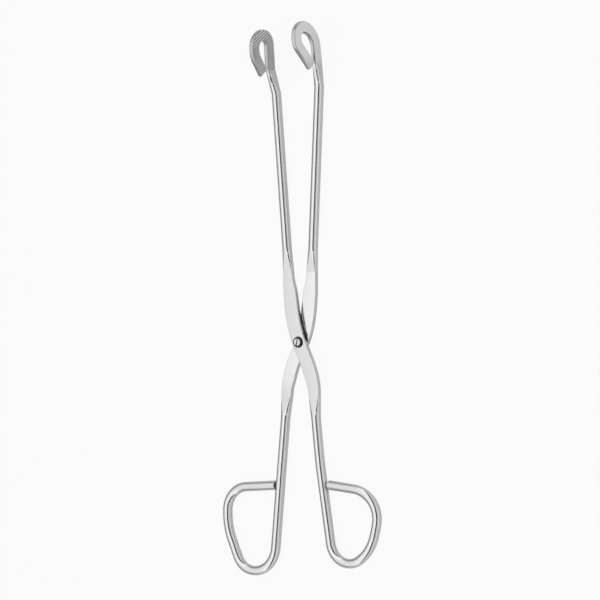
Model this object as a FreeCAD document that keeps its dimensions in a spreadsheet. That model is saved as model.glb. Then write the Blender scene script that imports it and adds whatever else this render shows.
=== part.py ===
"""Wire pattern sterilizer forceps: two bent and forged rods on one screw.

The forceps lie flat. X is the direction in which they open, Y runs along them with the jaws
at +Y, and Z is up. The origin is on the screw's axis, in the plane that the rods lie on.
All lengths are in millimetres and all angles in degrees.
"""

import FreeCAD, Part
import Sketcher
import math
import os
from FreeCAD import Placement, Rotation, Vector

# The driving sizes. A half is described with its jaw on the +X side.
SIZES = {
    # the rod that both halves are made of
    "rod_diameter": 4.7,
    # the lap joint: each half is forged to a flat blade half as thick as the rod
    "lap_gap": 0.05,
    "edge_break": 0.3,
    "top_ramp_length": 12.0,
    "low_ramp_length": 11.0,
    "facet_start_angle": 3.0,
    # the arms, from the top ramp to the jaw
    "arm_foot_x": 7.85,
    "front_arm_lean": 4.2,
    "rear_arm_lean": 3.36,
    "front_arm_length": 75.7,
    "rear_arm_length": 78.2,
    # the shanks, from the low ramp to the finger ring, and the cut end of the ring's bar
    "front_shank_head_x": -8.55,
    "rear_shank_head_x": -9.75,
    "bar_end_chamfer": 0.35,
    # the jaw loops: a flattened strip, bent forwards and round to an open hook
    "front_strip_width": 5.7,
    "rear_strip_width": 5.7,
    "strip_thickness": 2.5,
    "strip_corner": 0.45,
    "jaw_lean_in": 6.3,
    "front_jaw_offset_out": 2.15,
    "rear_jaw_offset_out": 1.7,
    "serration_pitch": 1.3,
    "serration_depth": 0.3,
    "serration_tilt": 31.0,
    "serration_land": 0.2,
    # the pivot screw
    "screw_diameter": 3.0,
    "bore_clearance": 0.05,
    "thread_clearance": 0.01,
    "head_diameter": 5.0,
    "head_height": 1.1,
    "head_rounding": 0.35,
    "head_gap": 0.03,
    "slot_width": 0.8,
    "slot_depth": 0.5,
    "slot_angle": 75.0,
}

# Stations along each half's blade: its middle in X, its place in Y and its width there. The blade
# starts at the crease of the top ramp and ends at the crease of the low one.
BLADES = {
    "front": [("top_crease", 6.15, 34.0, 5.6), ("taper", 5.25, 26.0, 7.05), ("shoulder", 4.45, 18.0, 7.9),
              ("middle", 0.0, 0.0, 8.1), ("belly", -5.85, -13.0, 7.9), ("waist", -7.95, -20.0, 7.2),
              ("low_crease", -8.8, -26.0, 6.2)],
    "rear": [("top_crease", 6.2, 34.0, 5.6), ("taper", 5.35, 26.0, 7.25), ("shoulder", 4.45, 18.0, 8.0),
             ("middle", 0.0, 0.0, 8.2), ("belly", -6.45, -13.0, 7.5), ("waist", -8.45, -20.0, 6.8),
             ("low_crease", -9.35, -26.0, 6.0)],
}

# Corners of each jaw loop's centre line, from the arm's end: distance up, distance forwards,
# and the bend radius there. The first point is where the flat strip starts, the last its cut end.
JAWS = {
    "front": [("start", 12.0, 2.46, 0), ("back", 27.7, 4.6, 4.9), ("crown", 29.2, 16.3, 6.2),
              ("nose", 18.4, 15.7, 9.7), ("hook", 10.1, 8.6, 0)],
    "rear": [("start", 12.0, 2.97, 0), ("back", 28.35, 4.3, 9.8), ("crown", 28.85, 20.2, 5.3),
             ("nose", 20.0, 18.6, 3.3), ("hook", 10.3, 8.5, 0)],
}

# Corners of each finger ring's centre line, from the shank's head: distance outwards, distance
# down, and the bend radius there. The bar runs from the corner towards the shank.
RINGS = {
    "front": [("knee", 2.05, 21.0, 90.0), ("heel", 10.6, 78.1, 11.2), ("bow", 32.2, 64.35, 20.0),
              ("side", 37.5, 43.6, 13.7), ("corner", 26.7, 34.95, 16.0)],
    "rear": [("knee", 2.25, 21.0, 90.0), ("heel", 8.3, 77.9, 12.6), ("bow", 27.6, 73.3, 10.5),
             ("side", 35.8, 54.0, 33.0), ("corner", 35.8, 34.3, 11.7)],
}
# The ring's straight bar: its slope, and the gap between its cut end and the shank.
BARS = {"front": (7.15, 1.2), "rear": (2.7, 0.35)}


def add_station_sizes():
    """Adds every station of the blades, jaws and rings to the sizes under a name of its own."""
    for half in ("front", "rear"):
        for station, x, y, width in BLADES[half]:
            SIZES[f"{half}_{station}_x"] = x
            SIZES[f"{half}_{station}_y"] = y
            SIZES[f"{half}_{station}_width"] = width
        for corner, up, forward, radius in JAWS[half]:
            SIZES[f"{half}_{corner}_up"] = up
            SIZES[f"{half}_{corner}_forward"] = forward
            if radius:
                SIZES[f"{half}_{corner}_radius"] = radius
        for corner, out, down, radius in RINGS[half]:
            SIZES[f"{half}_{corner}_out"] = out
            SIZES[f"{half}_{corner}_down"] = down
            SIZES[f"{half}_{corner}_radius"] = radius
        SIZES[f"{half}_bar_rise"], SIZES[f"{half}_bar_gap"] = BARS[half]


def make_sheet(doc):
    """Writes the sizes to a spreadsheet, one row each, and names each cell."""
    sheet = doc.addObject("Spreadsheet::Sheet", "sizes")
    for row, (name, value) in enumerate(SIZES.items(), start=1):
        sheet.set(f"A{row}", name)
        sheet.set(f"B{row}", str(value))
        sheet.setAlias(f"B{row}", name)
    doc.recompute()
    return sheet


add_station_sizes()
doc = FreeCAD.newDocument("grasping_forceps")
sizes = make_sheet(doc)


def size(name):
    return float(sizes.get(name))


ROD_RADIUS = size("rod_diameter") / 2


def origin_plane(body, role):
    """Finds one of a body's own origin planes."""
    return next(item for item in body.Origin.OriginFeatures if item.Role == role)


def new_sketch(body, name, role, offset):
    """Makes a sketch on an origin plane of the body, moved and turned by offset."""
    sketch = body.newObject("Sketcher::SketchObject", name)
    sketch.AttachmentSupport = [(origin_plane(body, role), "")]
    sketch.MapMode = "FlatFace"
    sketch.AttachmentOffset = offset
    return sketch


def frame_on(role, point, along, up):
    """The offset that puts a sketch at point, with its normal along one direction and its
    own y axis near up."""
    planes = {
        "XY_Plane": Rotation(),
        "XZ_Plane": Rotation(Vector(1, 0, 0), 90),
        "YZ_Plane": Rotation(Vector(0, 0, 1), 90).multiply(Rotation(Vector(1, 0, 0), 90)),
    }
    turn = Rotation(Vector(), up, along, "ZYX")
    wanted = Placement(point, turn)
    return Placement(Vector(), planes[role]).inverse().multiply(wanted)


def round_section(sketch, radius):
    """Draws a circle as four long arcs with four short ones between them, where the
    facets of a forged section start."""
    half_facet = math.radians(size("facet_start_angle") / 2)
    circle = Part.Circle(Vector(), Vector(0, 0, 1), radius)
    arcs = []
    for quarter in range(4):
        middle = quarter * math.pi / 2
        arcs.append(Part.ArcOfCircle(circle, middle - half_facet, middle + half_facet))
        arcs.append(Part.ArcOfCircle(circle, middle + half_facet, middle + math.pi / 2 - half_facet))
    sketch.addGeometry(arcs, False)


def flat_section(sketch, width, height, corner):
    """Draws a rectangle with chamfered corners about the sketch's origin."""
    across = width / 2
    tall = height / 2
    right = across - corner
    top = tall - corner
    points = [
        Vector(across, -top, 0),
        Vector(across, top, 0),
        Vector(right, tall, 0),
        Vector(-right, tall, 0),
        Vector(-across, top, 0),
        Vector(-across, -top, 0),
        Vector(-right, -tall, 0),
        Vector(right, -tall, 0),
    ]
    edges = [Part.LineSegment(start, end) for start, end in zip(points, points[1:] + points[:1])]
    sketch.addGeometry(edges, False)


def rod_section(body, name, role, place):
    """A sketch of the plain round rod."""
    sketch = new_sketch(body, name, role, place)
    sketch.addGeometry(Part.Circle(Vector(), Vector(0, 0, 1), ROD_RADIUS), False)
    sketch.addConstraint(Sketcher.Constraint("Diameter", 0, size("rod_diameter")))
    sketch.setExpression("Constraints[0]", "sizes.rod_diameter")
    return sketch


def bent_line(corners):
    """Straight runs joined by tangent arcs. Each corner is a point and its bend radius."""
    edges = []
    start = corners[0][0]
    for index in range(1, len(corners) - 1):
        before, here, after = corners[index - 1][0], corners[index][0], corners[index + 1][0]
        radius = corners[index][1]
        arriving = (here - before).normalize()
        leaving = (after - here).normalize()
        turn = arriving.getAngle(leaving)
        cut = radius * math.tan(turn / 2)
        first = here - arriving * cut
        last = here + leaving * cut
        towards = (leaving - arriving).normalize()
        middle = here + towards * (radius / math.cos(turn / 2) - radius)
        edges.append(Part.LineSegment(start, first))
        edges.append(Part.Arc(first, middle, last))
        start = last
    edges.append(Part.LineSegment(start, corners[-1][0]))
    return edges


def loft(body, name, first, second):
    feature = body.newObject("PartDesign::AdditiveLoft", name)
    feature.Profile = first
    feature.Sections = [second]
    feature.Ruled = True
    return feature


def pipe(body, name, profile, spine):
    feature = body.newObject("PartDesign::AdditivePipe", name)
    feature.Profile = profile
    feature.Spine = (spine, [])
    return feature


def station(half, name):
    """A blade station's middle in X, its place in Y and its width."""
    return tuple(size(f"{half}_{name}_{part}") for part in ("x", "y", "width"))


def blade_edge(side, half, across):
    """One long edge of the blade in plan: a smooth curve through its stations, where across
    is +1 for the edge on the jaw's side and -1 for the other."""
    stations = [station(half, name) for name, _, _, _ in BLADES[half]]
    points = [Vector(side * (x + across * width / 2), y, 0) for x, y, width in stations]
    down = Vector(0, -1, 0)
    curve = Part.BSplineCurve()
    curve.interpolate(Points=points, InitialTangent=down, FinalTangent=down)
    return curve


def add_blade(body, side, half, lap):
    """The flat blade that crosses the other half. lap is +1 for the upper one."""
    near = blade_edge(side, half, 1)
    far = blade_edge(side, half, -1)
    floor = ROD_RADIUS + size("lap_gap") / 2 if lap > 0 else 0.0
    sketch = new_sketch(body, "blade_outline", "XY_Plane", Placement(Vector(0, 0, floor), Rotation()))
    top = Part.LineSegment(near.StartPoint, far.StartPoint)
    bottom = Part.LineSegment(near.EndPoint, far.EndPoint)
    sketch.addGeometry([near, bottom, far, top], False)
    pad = body.newObject("PartDesign::Pad", "blade")
    pad.Profile = sketch
    pad.setExpression("Length", "sizes.rod_diameter / 2 - sizes.lap_gap / 2")
    doc.recompute()
    long_edges = []
    for number, edge in enumerate(pad.Shape.Edges, start=1):
        if edge.Curve.TypeId == "Part::GeomBSplineCurve":
            long_edges.append(f"Edge{number}")
    chamfer = body.newObject("PartDesign::Chamfer", "blade_edges")
    chamfer.Base = (pad, long_edges)
    chamfer.setExpression("Size", "sizes.edge_break")
    doc.recompute()


def blade_thickness():
    return ROD_RADIUS - size("lap_gap") / 2


def add_ramp(body, name, side, lap, crease, rod_point, rod_axis):
    """The forged change from the blade's end to the round rod. Its facets run out to points.
    Returns a sketch of the rod's plain section, which the rod goes on from."""
    x, y, width = crease
    height = blade_thickness()
    middle = ROD_RADIUS + lap * (size("lap_gap") / 2 + height / 2)
    flat = new_sketch(body, name + "_crease", "XZ_Plane",
                      frame_on("XZ_Plane", Vector(side * x, y, middle), Vector(0, -1, 0), Vector(0, 0, 1)))
    flat_section(flat, width, height, size("edge_break"))
    rod_frame = frame_on("XZ_Plane", rod_point, rod_axis, Vector(0, 0, 1))
    round_end = new_sketch(body, name + "_rod", "XZ_Plane", rod_frame)
    round_section(round_end, ROD_RADIUS)
    loft(body, name, flat, round_end)
    section = rod_section(body, name + "_end", "XZ_Plane", rod_frame)
    doc.recompute()
    return section


def add_arm(body, side, half, lap):
    """The top ramp and the straight round arm. Returns the end of the arm and its direction."""
    lean = math.radians(size(f"{half}_arm_lean"))
    up = Vector(side * math.sin(lean), math.cos(lean), 0)
    crease = station(half, "top_crease")
    foot = Vector(side * size("arm_foot_x"), crease[1] + size("top_ramp_length"), ROD_RADIUS)
    section = add_ramp(body, "top_ramp", side, lap, crease, foot, up * -1)
    arm = body.newObject("PartDesign::Pad", "arm")
    arm.Profile = section
    arm.setExpression("Length", f"sizes.{half}_arm_length")
    arm.Reversed = True
    doc.recompute()
    return foot + up * size(f"{half}_arm_length"), up


def add_jaw(body, side, half, arm_end, arm_up):
    """The jaw: a root that turns the round rod into a flat strip, and the strip's hook."""
    lean = math.radians(size(f"{half}_arm_lean") - size("jaw_lean_in"))
    up = Vector(side * math.sin(lean), math.cos(lean), 0)
    forward = Vector(0, 0, 1)
    outwards = arm_up.cross(forward) * side
    base = arm_end + outwards * size(f"{half}_jaw_offset_out")

    def place(corner):
        return base + up * size(f"{half}_{corner}_up") + forward * size(f"{half}_{corner}_forward")

    names = [corner[0] for corner in JAWS[half]]
    points = [place(name) for name in names]
    radii = [size(f"{half}_{name}_radius") if bend else 0 for name, _, _, bend in JAWS[half]]
    start_direction = (points[1] - points[0]).normalize()
    face_normal = up.cross(forward)
    section_up = face_normal.cross(start_direction)

    root_start = new_sketch(body, "jaw_root_rod", "XZ_Plane",
                            frame_on("XZ_Plane", arm_end, arm_up * -1, forward))
    round_section(root_start, ROD_RADIUS)
    root_end = new_sketch(body, "jaw_root_strip", "XZ_Plane",
                          frame_on("XZ_Plane", points[0], start_direction * -1, section_up * -1))
    flat_section(root_end, size("strip_thickness"), size(f"{half}_strip_width"), size("strip_corner"))
    loft(body, "jaw_root", root_start, root_end)
    doc.recompute()

    plane = Placement(points[0], Rotation(up, forward, face_normal, "XYZ"))
    turn = Placement(Vector(), Rotation(Vector(1, 1, 1), 120))
    path = new_sketch(body, "jaw_path", "YZ_Plane", turn.inverse().multiply(plane))
    local = [(plane.inverse().multVec(point), radius) for point, radius in zip(points, radii)]
    path.addGeometry(bent_line(local), False)
    pipe(body, "jaw_loop", root_end, path)
    doc.recompute()
    return points, up, face_normal


def add_serrations(body, side, half, points, up, face_normal):
    """Parallel V grooves across the gripping face, square to the loop's own axis."""
    tilt = math.radians(size("serration_tilt"))
    forward = Vector(0, 0, 1)
    axis = up * math.cos(tilt) + forward * math.sin(tilt)
    inwards = Vector(-side, 0, 0)
    inwards = (inwards - up * inwards.dot(up)).normalize()
    along = axis.cross(inwards)
    pitch = size("serration_pitch")
    depth = size("serration_depth")
    face = points[0] + inwards * size("strip_thickness") / 2
    crown = points[2]
    length = (crown - points[0]).dot(axis) + size(f"{half}_strip_width")
    count = int(length // pitch)
    frame = Placement(face, Rotation(axis, inwards, along, "XYZ"))
    plane = Placement(Vector(), Rotation(Vector(1, 0, 0), 90))
    sketch = new_sketch(body, "groove_profile", "XZ_Plane", plane.inverse().multiply(frame))
    proud = depth / 10
    mouth = (pitch - size("serration_land")) / 2 * (1 + proud / depth)
    low = Vector(0, -depth, 0)
    left = Vector(-mouth, proud, 0)
    right = Vector(mouth, proud, 0)
    sketch.addGeometry([Part.LineSegment(low, right), Part.LineSegment(right, left),
                        Part.LineSegment(left, low)], False)
    groove = body.newObject("PartDesign::Pocket", "groove")
    groove.Profile = sketch
    groove.Midplane = True
    groove.setExpression("Length", f"4 * sizes.{half}_crown_forward")
    doc.recompute()
    pattern = body.newObject("PartDesign::LinearPattern", "serrations")
    pattern.Originals = [groove]
    pattern.Direction = (sketch, ["H_Axis"])
    pattern.setExpression("Length", f"sizes.serration_pitch * {count - 1}")
    pattern.Occurrences = count
    body.Tip = pattern
    doc.recompute()


def add_shank_and_ring(body, side, half, lap):
    """The low ramp, the shank and the finger ring, which is bent from the same rod."""
    crease = station(half, "low_crease")
    head_x = side * size(f"{half}_shank_head_x")
    head = Vector(head_x, crease[1] - size("low_ramp_length"), ROD_RADIUS)
    flat_head = Vector(head.x, head.y, 0)

    def place(corner):
        out = size(f"{half}_{corner}_out")
        return flat_head + Vector(-side * out, -size(f"{half}_{corner}_down"), 0)

    names = [corner[0] for corner in RINGS[half]]
    corners = [(flat_head, 0)]
    corners += [(place(name), size(f"{half}_{name}_radius")) for name in names]
    knee, heel, last = corners[1][0], corners[2][0], corners[-1][0]
    shank = (heel - knee).normalize()
    rise = math.radians(size(f"{half}_bar_rise"))
    bar = Vector(side * math.cos(rise), math.sin(rise), 0)
    clear = ROD_RADIUS + size(f"{half}_bar_gap")
    square = Vector(-shank.y, shank.x, 0)
    apart = (last - knee).dot(square)
    reach = (abs(apart) - clear) / abs(bar.dot(square))
    corners.append((last + bar * reach, 0))

    down = (knee - flat_head).normalize()
    section = add_ramp(body, "low_ramp", side, lap, crease, head, down)
    path = new_sketch(body, "ring_path", "XY_Plane", Placement(Vector(0, 0, ROD_RADIUS), Rotation()))
    path.addGeometry(bent_line(corners), False)
    ring = pipe(body, "ring", section, path)
    doc.recompute()
    bar_end = Vector(corners[-1][0].x, corners[-1][0].y, ROD_RADIUS)
    nearest = min(range(len(ring.Shape.Edges)),
                  key=lambda i: (ring.Shape.Edges[i].CenterOfMass - bar_end).Length)
    chamfer = body.newObject("PartDesign::Chamfer", "bar_end")
    chamfer.Base = (ring, [f"Edge{nearest + 1}"])
    chamfer.setExpression("Size", "sizes.bar_end_chamfer")
    doc.recompute()


def add_bore(body, clearance):
    """The hole for the screw, through the blade on the pivot axis."""
    sketch = new_sketch(body, "bore_circle", "XY_Plane", Placement())
    sketch.addGeometry(Part.Circle(Vector(), Vector(0, 0, 1), size("screw_diameter") / 2), False)
    sketch.addConstraint(Sketcher.Constraint("Diameter", 0, size("screw_diameter")))
    sketch.setExpression("Constraints[0]", f"sizes.screw_diameter + 2 * sizes.{clearance}")
    bore = body.newObject("PartDesign::Pocket", "bore")
    bore.Profile = sketch
    bore.Midplane = True
    bore.setExpression("Length", "4 * sizes.rod_diameter")
    doc.recompute()


def make_half(name, half, side, lap, clearance):
    body = doc.addObject("PartDesign::Body", name)
    body.Label = name
    add_blade(body, side, half, lap)
    arm_end, arm_up = add_arm(body, side, half, lap)
    points, up, face_normal = add_jaw(body, side, half, arm_end, arm_up)
    add_shank_and_ring(body, side, half, lap)
    add_bore(body, clearance)
    add_serrations(body, side, half, points, up, face_normal)
    return body


def make_screw():
    """The slotted screw: shank through both blades, and a raised head with a rounded rim."""
    body = doc.addObject("PartDesign::Body", "pivot_screw")
    body.Label = "pivot_screw"
    shaft = size("screw_diameter") / 2
    head = size("head_diameter") / 2
    under = 2 * ROD_RADIUS + size("head_gap")
    top = under + size("head_height")
    rounding = size("head_rounding")
    sketch = new_sketch(body, "profile", "XZ_Plane", Placement())
    bend = rounding * (1 - math.sqrt(0.5))
    rim_side = Vector(head, top - rounding, 0)
    rim_top = Vector(head - rounding, top, 0)
    outline = [
        Part.LineSegment(Vector(0, 0, 0), Vector(shaft, 0, 0)),
        Part.LineSegment(Vector(shaft, 0, 0), Vector(shaft, under, 0)),
        Part.LineSegment(Vector(shaft, under, 0), Vector(head, under, 0)),
        Part.LineSegment(Vector(head, under, 0), rim_side),
        Part.Arc(rim_side, Vector(head - bend, top - bend, 0), rim_top),
        Part.LineSegment(rim_top, Vector(0, top, 0)),
        Part.LineSegment(Vector(0, top, 0), Vector(0, 0, 0)),
    ]
    sketch.addGeometry(outline, False)
    turned = body.newObject("PartDesign::Revolution", "turned")
    turned.Profile = sketch
    turned.ReferenceAxis = (sketch, ["V_Axis"])
    doc.recompute()
    slot_frame = Placement(Vector(0, 0, top), Rotation(Vector(0, 0, 1), size("slot_angle")))
    slot_sketch = new_sketch(body, "slot_outline", "XY_Plane", slot_frame)
    across = size("slot_width") / 2
    past = 2 * head
    corners = [Vector(-past, -across, 0), Vector(past, -across, 0),
               Vector(past, across, 0), Vector(-past, across, 0)]
    slot_sketch.addGeometry([Part.LineSegment(corners[i], corners[(i + 1) % 4]) for i in range(4)], False)
    slot = body.newObject("PartDesign::Pocket", "slot")
    slot.Profile = slot_sketch
    slot.setExpression("Length", "sizes.slot_depth")
    doc.recompute()
    return body


def check_and_write(bodies):
    for item in doc.Objects:
        if "Invalid" in item.State or "Error" in item.State:
            raise RuntimeError(f"{item.Name} failed: {item.State}")
    os.makedirs("parts", exist_ok=True)
    for body in bodies:
        shape = body.Shape
        if shape.isNull() or not shape.isValid():
            raise RuntimeError(f"{body.Label} has no valid shape")
        print(body.Label, "solids", len(shape.Solids), "volume", round(shape.Volume, 2),
              "box", shape.BoundBox)
        shape.exportStep(f"parts/{body.Label}.step")


rear = make_half("rear_half", "rear", 1, -1, "thread_clearance")
front = make_half("front_half", "front", -1, 1, "bore_clearance")
screw = make_screw()
doc.recompute()
check_and_write([front, rear, screw])
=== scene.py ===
# %% [markdown]
# Wire pattern grasping forceps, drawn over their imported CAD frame.
# The real thing is two bent and forged rods of stainless steel that cross on one slotted screw.
# The CAD solids already carry every form, so this lesson is about finish and light: polished and
# satin metal shows almost nothing of its own colour, and looks right only when its studio does.

import math

import bmesh
import bpy
from mathutils import Matrix, Vector


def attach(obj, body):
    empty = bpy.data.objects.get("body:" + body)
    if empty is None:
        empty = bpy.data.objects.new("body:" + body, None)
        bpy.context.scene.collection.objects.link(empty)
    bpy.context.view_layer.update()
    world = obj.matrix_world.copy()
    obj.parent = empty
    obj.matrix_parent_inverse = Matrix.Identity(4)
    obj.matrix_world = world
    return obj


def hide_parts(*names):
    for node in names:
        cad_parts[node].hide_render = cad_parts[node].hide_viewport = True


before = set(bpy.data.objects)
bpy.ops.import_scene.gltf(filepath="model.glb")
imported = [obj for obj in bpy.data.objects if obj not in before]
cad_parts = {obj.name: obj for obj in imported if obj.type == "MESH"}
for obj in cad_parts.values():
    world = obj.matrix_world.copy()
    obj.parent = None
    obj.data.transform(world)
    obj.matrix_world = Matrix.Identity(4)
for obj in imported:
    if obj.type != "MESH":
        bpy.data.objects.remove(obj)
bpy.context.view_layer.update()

# %% [markdown]
# All lengths are in metres, so one name for a millimetre keeps the sizes below easy to read.
# Colours are written as the hex values that a paint program shows, and a shader wants linear
# light, so one function turns the first into the second.

# %% Units and colours
MM = 0.001


def linear(hex_colour):
    """Linear red, green, blue and alpha of an sRGB hex colour."""
    values = [int(hex_colour[i : i + 2], 16) / 255 for i in (1, 3, 5)]
    curve = [v / 12.92 if v <= 0.04045 else ((v + 0.055) / 1.055) ** 2.4 for v in values]
    return (*curve, 1.0)


print("mid grey #808080 is", [round(v, 3) for v in linear("#808080")], "in linear light")

# %% [markdown]
# The photograph looks down on the forceps from their right, 36 degrees off the vertical, with the
# jaws at the top of the picture. A long lens keeps the rods the same width from end to end. The
# picture is turned by half a degree, as the real one is.

# %% Camera
PICTURE_WIDTH = 292.4 * MM
CAMERA_DISTANCE = 3.0
CAMERA_TILT = math.radians(36)
CAMERA_ROLL = math.radians(0.58)
ROD_MIDDLE = 2.35 * MM
LOOK_AT_Y = 20.5 * MM
LOOK_AT_SIDE = -0.28 * MM

towards_camera = Vector((math.sin(CAMERA_TILT), 0, math.cos(CAMERA_TILT)))
level_right = Vector((math.cos(CAMERA_TILT), 0, -math.sin(CAMERA_TILT)))
along = Vector((0, 1, 0))
picture_up = along * math.cos(CAMERA_ROLL) + level_right * math.sin(CAMERA_ROLL)
picture_right = level_right * math.cos(CAMERA_ROLL) - along * math.sin(CAMERA_ROLL)
target = Vector((0, LOOK_AT_Y, ROD_MIDDLE)) + level_right * LOOK_AT_SIDE

camera_data = bpy.data.cameras.new("camera")
camera_data.lens = camera_data.sensor_width * CAMERA_DISTANCE / PICTURE_WIDTH
camera = bpy.data.objects.new("camera", camera_data)
bpy.context.collection.objects.link(camera)
camera_axes = (picture_right, picture_up, towards_camera)
camera_place = target + towards_camera * CAMERA_DISTANCE
rows = [(*[axis[i] for axis in camera_axes], camera_place[i]) for i in range(3)]
camera.matrix_world = Matrix([*rows, (0, 0, 0, 1)])
bpy.context.scene.camera = camera
bpy.context.scene.view_settings.view_transform = "Standard"
print("lens in mm:", round(camera_data.lens, 1))

# %% [markdown]
# Every material and the world are small node trees. One helper adds a node, sets its inputs and
# links what feeds them, so that a tree reads from top to bottom like a recipe.

# %% A helper for nodes
def add_node(tree, kind, inputs=None, **settings):
    """A new node. Each input is a value, or a (node, output) pair that is linked to it."""
    node = tree.nodes.new(kind)
    for name, value in settings.items():
        setattr(node, name, value)
    for name, value in (inputs or {}).items():
        if isinstance(value, tuple) and isinstance(value[0], bpy.types.Node):
            tree.links.new(value[0].outputs[value[1]], node.inputs[name])
        else:
            node.inputs[name].default_value = value
    return node


def new_material(name):
    """An empty material and its output node."""
    material = bpy.data.materials.new(name)
    material.use_nodes = True
    material.node_tree.nodes.clear()
    return material, material.node_tree


# %% [markdown]
# Smooth metal mirrors its surroundings, so the stripes on the rods are a picture of the studio.
# From left to right the photograph's rods show a grey edge, a broad white stripe, a thin dark
# line and a grey side: a wide softbox overhead and to the left, the dark gap that the camera looks
# through, and a dimmer wall on the right. The world below is that studio, painted by the angle
# round the forceps' long axis. The camera itself sees plain white.

# %% Studio world
world = bpy.data.worlds.new("light_tent")
world.use_nodes = True
bpy.context.scene.world = world
tree = world.node_tree
tree.nodes.clear()

# Angles from straight up, positive to the right, and how bright the tent is there.
TENT = [
    (-90, 0.14), (-66, 0.32), (-49, 0.88), (-38, 1.02), (-30, 1.06), (-14, 1.27), (9, 1.27),
    (17, 0.04), (37, 0.04), (45, 0.55), (62, 0.75), (76, 0.95), (90, 0.90),
]

BRIGHTEST = max(level for degrees, level in TENT)
way = add_node(tree, "ShaderNodeTexCoord")
parts = add_node(tree, "ShaderNodeSeparateXYZ", {"Vector": (way, "Generated")})
angle = add_node(
    tree, "ShaderNodeMath", {0: (parts, "X"), 1: (parts, "Z")}, operation="ARCTAN2"
)
turn = add_node(
    tree,
    "ShaderNodeMapRange",
    {"Value": (angle, 0), "From Min": -math.pi / 2, "From Max": math.pi / 2},
)
tent = add_node(tree, "ShaderNodeValToRGB", {"Fac": (turn, "Result")})
stops = tent.color_ramp.elements
while len(stops) < len(TENT):
    stops.new(1.0)
for stop, (degrees, level) in zip(stops, TENT):
    stop.position = (degrees + 90) / 180
for stop, (degrees, level) in zip(stops, TENT):
    stop.color = (level / BRIGHTEST, level / BRIGHTEST, level / BRIGHTEST, 1)

seen = add_node(tree, "ShaderNodeLightPath")
light = add_node(tree, "ShaderNodeBackground", {"Color": (tent, "Color"), "Strength": BRIGHTEST})
white = add_node(tree, "ShaderNodeBackground", {"Color": (1, 1, 1, 1), "Strength": 1.0})
mixed = add_node(
    tree, "ShaderNodeMixShader", {0: (seen, "Is Camera Ray"), 1: (light, 0), 2: (white, 0)}
)
add_node(tree, "ShaderNodeOutputWorld", {"Surface": (mixed, 0)})
print("tent levels:", TENT)

# %% [markdown]
# One large soft lamp hangs high on the right and gives the forceps their faint shadow. The softbox
# that the steel mirrors is the one painted into the tent, so this lamp is hidden from mirrored
# light and adds no second highlight.

# %% Soft lamp
LAMP_SIZE = 0.7
LAMP_WATTS = 6.0
LAMP_DISTANCE = 1.4
LAMP_TILT = math.radians(32)
LAMP_Y = 100 * MM

lamp_data = bpy.data.lights.new("soft_lamp", "AREA")
lamp_data.size = LAMP_SIZE
lamp_data.energy = LAMP_WATTS
lamp = bpy.data.objects.new("soft_lamp", lamp_data)
lamp.location = (math.sin(LAMP_TILT) * LAMP_DISTANCE, LAMP_Y, math.cos(LAMP_TILT) * LAMP_DISTANCE)
lamp.rotation_euler = (0, LAMP_TILT, 0)
lamp.visible_glossy = False
bpy.context.collection.objects.link(lamp)
print("the lamp is at", [round(c, 2) for c in lamp.location], "m")

# %% [markdown]
# The forceps lie on a white table, which is one square face. It is part of the stage and not of
# the object.

# %% Table
TABLE_HALF = 6.0

shape = bmesh.new()
bmesh.ops.create_grid(shape, x_segments=1, y_segments=1, size=TABLE_HALF)
table_mesh = bpy.data.meshes.new("table")
shape.to_mesh(table_mesh)
shape.free()
table = bpy.data.objects.new("table", table_mesh)
bpy.context.collection.objects.link(table)
print("the table is", 2 * TABLE_HALF, "m wide")

# %% [markdown]
# The table is covered with matt paper. For the camera it is nearly all plain white, and the rest of
# its colour is ordinary pale paper, which keeps a faint shadow. More lamps would make it white too,
# but they would wash out the steel. Polished steel mirrors the paper as well, and shows a little of
# that plain white. From below the table is not drawn, so that the undersides can be looked at.

# %% Paper on the table
PAPER_COLOUR = linear("#C4C4C4")
WHITE_FOR_CAMERA = 0.92
WHITE_FOR_MIRRORS = 0.22

paper, tree = new_material("matt_paper")
seen = add_node(tree, "ShaderNodeLightPath")
facing = add_node(tree, "ShaderNodeNewGeometry")
matt = add_node(tree, "ShaderNodeBsdfDiffuse", {"Color": PAPER_COLOUR})
glow = add_node(tree, "ShaderNodeEmission", {"Color": (1, 1, 1, 1), "Strength": 1.0})
straight = add_node(
    tree,
    "ShaderNodeMath",
    {0: (seen, "Is Camera Ray"), 1: (seen, "Is Transmission Ray")},
    operation="MAXIMUM",
)
direct = add_node(tree, "ShaderNodeMath", {0: (straight, 0), 1: WHITE_FOR_CAMERA}, operation="MULTIPLY")
mirrored = add_node(
    tree, "ShaderNodeMath", {0: (seen, "Is Glossy Ray"), 1: WHITE_FOR_MIRRORS}, operation="MULTIPLY"
)
share = add_node(tree, "ShaderNodeMath", {0: (direct, 0), 1: (mirrored, 0)}, operation="ADD")
lit = add_node(tree, "ShaderNodeMixShader", {0: (share, 0), 1: (matt, 0), 2: (glow, 0)})
clear = add_node(tree, "ShaderNodeBsdfTransparent")
shown = add_node(
    tree, "ShaderNodeMixShader", {0: (facing, "Backfacing"), 1: (lit, 0), 2: (clear, 0)}
)
add_node(tree, "ShaderNodeOutputMaterial", {"Surface": (shown, 0)})
table_mesh.materials.append(paper)
print("the camera sees", WHITE_FOR_CAMERA, "of the paper as plain white")

# %% [markdown]
# Both halves are drawn stainless rod: bent, forged flat at the joint, then belt finished along
# their length. The belt leaves fine lines that run with the rod and blur what it mirrors a little.
# The jaws were blasted with fine grit, so that they grip and do not glare. Real lines and grit are
# about 0.05 mm across, which is too fine for a picture of the whole, so both are drawn coarser. One
# mask along the forceps, from the start of the jaws, changes the first finish into the second.

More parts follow.
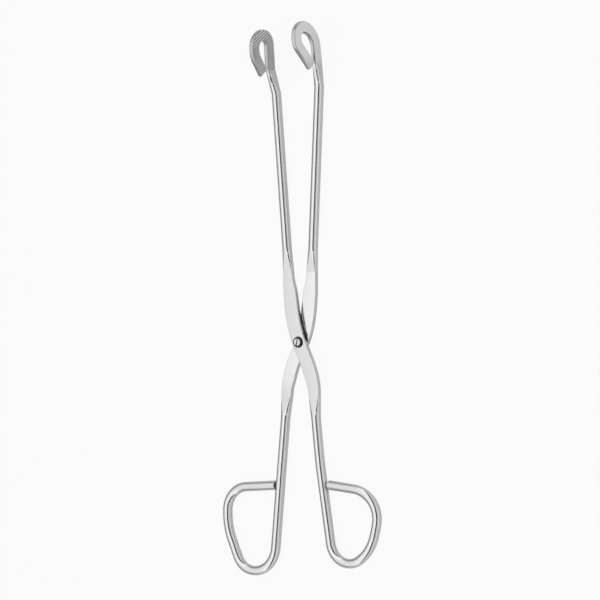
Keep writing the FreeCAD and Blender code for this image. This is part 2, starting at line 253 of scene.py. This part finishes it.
# %% Belt finished stainless steel: lines and grit
BELT_LINE = 0.35 * MM
BELT_LENGTH = 9 * MM
GRIT = 0.30 * MM
RELIEF_HEIGHT = 0.02 * MM
RELIEF_STRENGTH = 0.25
BELT_ROUGHNESS = (0.12, 0.20)
JAW_ROUGHNESS = 0.26
JAW_START = 133 * MM
JAW_BLEND = 6 * MM

steel, tree = new_material("belt_finished_stainless")
place = add_node(tree, "ShaderNodeTexCoord")
height = add_node(tree, "ShaderNodeSeparateXYZ", {"Vector": (place, "Object")})
jaw = add_node(
    tree,
    "ShaderNodeMapRange",
    {"Value": (height, "Y"), "From Min": JAW_START, "From Max": JAW_START + JAW_BLEND},
    interpolation_type="SMOOTHSTEP",
)
stretched = add_node(
    tree,
    "ShaderNodeMapping",
    {"Vector": (place, "Object"), "Scale": (1 / BELT_LINE, 1 / BELT_LENGTH, 1 / BELT_LINE)},
)
belt = add_node(
    tree, "ShaderNodeTexNoise", {"Vector": (stretched, 0), "Scale": 1.0, "Detail": 3.0}
)
grains = add_node(
    tree, "ShaderNodeTexNoise", {"Vector": (place, "Object"), "Scale": 1 / GRIT, "Detail": 2.0}
)
surface = add_node(
    tree, "ShaderNodeMix", {"Factor": (jaw, "Result"), 2: (belt, 0), 3: (grains, 0)}
)
relief = add_node(
    tree,
    "ShaderNodeBump",
    {"Height": (surface, 0), "Strength": RELIEF_STRENGTH, "Distance": RELIEF_HEIGHT},
)
gloss = add_node(
    tree,
    "ShaderNodeMapRange",
    {"Value": (belt, 0), "To Min": BELT_ROUGHNESS[0], "To Max": BELT_ROUGHNESS[1]},
)
rough = add_node(
    tree, "ShaderNodeMix", {"Factor": (jaw, "Result"), 2: (gloss, 0), 3: JAW_ROUGHNESS}
)
print("belt lines are", BELT_LINE / MM, "mm apart and the grit is", GRIT / MM, "mm")

# %% [markdown]
# The steel's own colour is a pale grey. Two places are lighter: the blasted jaws, and the top of
# the lower blade, where the upper blade slides over it. That paler top ends in a crisp line at the
# top ramp and fades out towards the shank. Between those two ends nothing else can be seen at the
# height of the lower blade's top, so its height finds it.

# %% Belt finished stainless steel: colour
ROD_COLOUR = linear("#DCDCDD")
JAW_COLOUR = linear("#F4F4F5")
# A paler colour on the top of the lower blade, up to the top ramp.
PALER_TOP_COLOUR = linear("#E9E9EA")
LOWER_TOP = 2.325 * MM
LOWER_TOP_REACH = 0.06 * MM
PALER_TOP_END = 34.1 * MM
PALER_TOP_FADE = (-26 * MM, -14 * MM)

tint = add_node(
    tree, "ShaderNodeMix", {"Factor": (jaw, "Result"), 6: ROD_COLOUR, 7: JAW_COLOUR}, data_type="RGBA"
)
level = add_node(
    tree,
    "ShaderNodeMath",
    {0: (height, "Z"), 1: LOWER_TOP, 2: LOWER_TOP_REACH},
    operation="COMPARE",
)
fade = add_node(
    tree,
    "ShaderNodeMapRange",
    {"Value": (height, "Y"), "From Min": PALER_TOP_FADE[0], "From Max": PALER_TOP_FADE[1]},
    interpolation_type="SMOOTHSTEP",
)
inside = add_node(tree, "ShaderNodeMath", {0: (height, "Y"), 1: PALER_TOP_END}, operation="LESS_THAN")
within = add_node(tree, "ShaderNodeMath", {0: (fade, 0), 1: (inside, 0)}, operation="MULTIPLY")
paler_top = add_node(tree, "ShaderNodeMath", {0: (level, 0), 1: (within, 0)}, operation="MULTIPLY")
clean = add_node(
    tree, "ShaderNodeMix", {"Factor": (paler_top, 0), 6: (tint, 2), 7: PALER_TOP_COLOUR}, data_type="RGBA"
)
print("the ground face runs up to", round(PALER_TOP_END / MM, 1), "mm from the screw")

# %% [markdown]
# Steel gets painted shade in its corners: between the blades, round the
# screw's head, behind the ends of the ring bars and in the grooves of the jaws. Darker paint could
# be put there by hand, but ambient occlusion with a short reach finds such corners by itself, also
# after the shape is changed. It is 1 on an open face and falls towards a corner.

# %% Belt finished stainless steel: painted shade in corners
CORNER_REACH = 0.6 * MM
CORNER_SAMPLES = 12
CORNER_FROM = 0.94
CORNER_TO = 0.76
CORNER_SHADE = 0.10

# Painted shade: ambient occlusion darkens the steel's colour in corners and gaps.
corners = add_node(
    tree, "ShaderNodeAmbientOcclusion", {"Distance": CORNER_REACH}, samples=CORNER_SAMPLES
)
painted_corner_shade = add_node(
    tree,
    "ShaderNodeMapRange",
    {
        "Value": (corners, "AO"),
        "From Min": CORNER_TO,
        "From Max": CORNER_FROM,
        "To Min": CORNER_SHADE,
    },
)
print("corners are dark within", CORNER_REACH / MM, "mm")

# %% [markdown]
# In the jaws three more things get painted shade: the lower flank of each groove, which the light
# does not reach, the strip's narrow sides, and its broken edges more than the sides. The object's
# own normal tells them apart. The gripping face and its grooves look along X, the sides look across
# it, and the broken edges lie between the two. The grooves follow each other along an axis that
# leans forwards from Y, and a lower flank looks back along that axis.

# %% Belt finished stainless steel: painted shade on grooves and edges
GROOVE_TILT = math.radians(31)
GROOVE_AXIS = (0, math.cos(GROOVE_TILT), math.sin(GROOVE_TILT))
FLANK_SLOPE = -0.24
FLANK_SHADE = 0.02
FACE_NORMAL = 0.8
SIDE_SHADE = 0.62
EDGE_NORMAL = 0.60
EDGE_NORMAL_REACH = 0.22
EDGE_SHADE = 0.30

slope = add_node(
    tree, "ShaderNodeVectorMath", {0: (place, "Normal"), 1: GROOVE_AXIS}, operation="DOT_PRODUCT"
)
# Painted shade on the lower flank of each groove.
painted_flank_shade = add_node(
    tree,
    "ShaderNodeMapRange",
    {"Value": (slope, "Value"), "From Min": FLANK_SLOPE, "From Max": 0.0, "To Min": FLANK_SHADE},
)
sides = add_node(tree, "ShaderNodeSeparateXYZ", {"Vector": (place, "Normal")})
across = add_node(tree, "ShaderNodeMath", {0: (sides, "X")}, operation="ABSOLUTE")
on_face = add_node(tree, "ShaderNodeMath", {0: (across, 0), 1: FACE_NORMAL}, operation="GREATER_THAN")
on_edge = add_node(
    tree,
    "ShaderNodeMath",
    {0: (across, 0), 1: EDGE_NORMAL, 2: EDGE_NORMAL_REACH},
    operation="COMPARE",
)
# Painted shade on the strip's narrow sides, darker on its broken edges.
edge = add_node(
    tree, "ShaderNodeMapRange", {"Value": (on_edge, 0), "To Min": SIDE_SHADE, "To Max": EDGE_SHADE}
)
painted_jaw_shade = add_node(tree, "ShaderNodeMix", {"Factor": (on_face, 0), 2: (edge, 0), 3: (painted_flank_shade, 0)})
painted_shade_in_jaw = add_node(tree, "ShaderNodeMix", {"Factor": (jaw, "Result"), 2: 1.0, 3: (painted_jaw_shade, 0)})
print("the grooves run square to", [round(part, 3) for part in GROOVE_AXIS])

# %% [markdown]
# The two kinds of painted shade multiply the steel's colour, and the metal takes that colour, the
# roughness of belt or grit, and the relief.

# %% Belt finished stainless steel: the metal
shade = add_node(tree, "ShaderNodeMath", {0: (painted_corner_shade, 0), 1: (painted_shade_in_jaw, 0)}, operation="MULTIPLY")
colour = add_node(
    tree, "ShaderNodeVectorMath", {0: (clean, 2), "Scale": (shade, 0)}, operation="SCALE"
)
metal = add_node(
    tree,
    "ShaderNodeBsdfPrincipled",
    {"Base Color": (colour, 0), "Metallic": 1.0, "Roughness": (rough, 0), "Normal": (relief, 0)},
)
add_node(tree, "ShaderNodeOutputMaterial", {"Surface": (metal, 0)})
print("the rods' steel has", len(tree.nodes), "nodes")

# %% [markdown]
# The screw is turned on a lathe and polished. Its lines run in rings round its axis, which is
# also the frame's Z axis, so the distance from that axis draws them, a little coarser than the
# real ones so that they show. The outer part of the head gets painted shade, a dark ring round its
# polished middle, and the same distance finds it.

# %% Turned stainless steel
TURN_PITCH = 0.25 * MM
TURN_HEIGHT = 0.01 * MM
TURN_STRENGTH = 0.12
HEAD_ROUGHNESS = 0.16
HEAD_COLOUR = linear("#DEDEDF")
# The rim colour is painted shade: a dark ring round the edge of the head.
RIM_PAINTED_SHADE_COLOUR = linear("#4C4C4E")
RIM_START = 1.50 * MM
RIM_END = 1.95 * MM

turned, tree = new_material("turned_polished_stainless")
place = add_node(tree, "ShaderNodeTexCoord")
flat = add_node(
    tree, "ShaderNodeVectorMath", {0: (place, "Object"), 1: (1, 1, 0)}, operation="MULTIPLY"
)
radius = add_node(tree, "ShaderNodeVectorMath", {0: (flat, 0)}, operation="LENGTH")
rings = add_node(
    tree, "ShaderNodeMath", {0: (radius, "Value"), 1: 2 * math.pi / TURN_PITCH}, operation="MULTIPLY"
)
wave = add_node(tree, "ShaderNodeMath", {0: (rings, 0)}, operation="SINE")
relief = add_node(
    tree, "ShaderNodeBump", {"Height": (wave, 0), "Strength": TURN_STRENGTH, "Distance": TURN_HEIGHT}
)
painted_rim_shade = add_node(
    tree, "ShaderNodeMapRange", {"Value": (radius, "Value"), "From Min": RIM_START, "From Max": RIM_END}
)
tint = add_node(
    tree, "ShaderNodeMix", {"Factor": (painted_rim_shade, 0), 6: HEAD_COLOUR, 7: RIM_PAINTED_SHADE_COLOUR}, data_type="RGBA"
)
metal = add_node(
    tree,
    "ShaderNodeBsdfPrincipled",
    {"Base Color": (tint, 2), "Metallic": 1.0, "Roughness": HEAD_ROUGHNESS, "Normal": (relief, 0)},
)
add_node(tree, "ShaderNodeOutputMaterial", {"Surface": (metal, 0)})
print("turning lines are", TURN_PITCH / MM, "mm apart")

# %% [markdown]
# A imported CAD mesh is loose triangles, which cannot be shaded smoothly. Each piece is therefore a
# copy whose doubled corners are merged. Its faces are then smooth, except where two meet at more
# than an angle that only square edges have. The broken edges, at 45 degrees, are shaded smoothly
# too, and a modifier lets the large faces lead, so that a blade stays flat and its narrow edge
# turns like the rounded edge that a belt leaves.

# %% Smooth copies of the three pieces
EDGE_ANGLE = math.radians(50)
MERGE = 0.001 * MM
LARGE_FACES_LEAD = 50


def finished_copy(node, name, material):
    """The CAD node's mesh with its corners merged and its real edges kept sharp."""
    mesh = bpy.data.meshes.new(name)
    shape = bmesh.new()
    shape.from_mesh(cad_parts[node].data)
    bmesh.ops.remove_doubles(shape, verts=shape.verts, dist=MERGE)
    for face in shape.faces:
        face.smooth = True
    for edge in shape.edges:
        edge.smooth = edge.is_manifold and edge.calc_face_angle(math.pi) < EDGE_ANGLE
    shape.to_mesh(mesh)
    sharp = sum(not edge.smooth for edge in shape.edges)
    print(name, "has", len(shape.faces), "faces and", sharp, "sharp edges")
    shape.free()
    mesh.materials.append(material)
    piece = bpy.data.objects.new(name, mesh)
    bpy.context.collection.objects.link(piece)
    weighting = piece.modifiers.new("large_faces_lead", "WEIGHTED_NORMAL")
    weighting.keep_sharp = True
    weighting.weight = LARGE_FACES_LEAD
    return piece


for node, body, finish, slot in (
    ("front_half", "front", steel, "satin_steel"),
    ("rear_half", "rear", steel, "satin_steel"),
    ("pivot_screw", "rear", turned, "screw_steel"),
):
    piece = finished_copy(node, node + "_finished", finish)
    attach(piece, body)
    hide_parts(node)
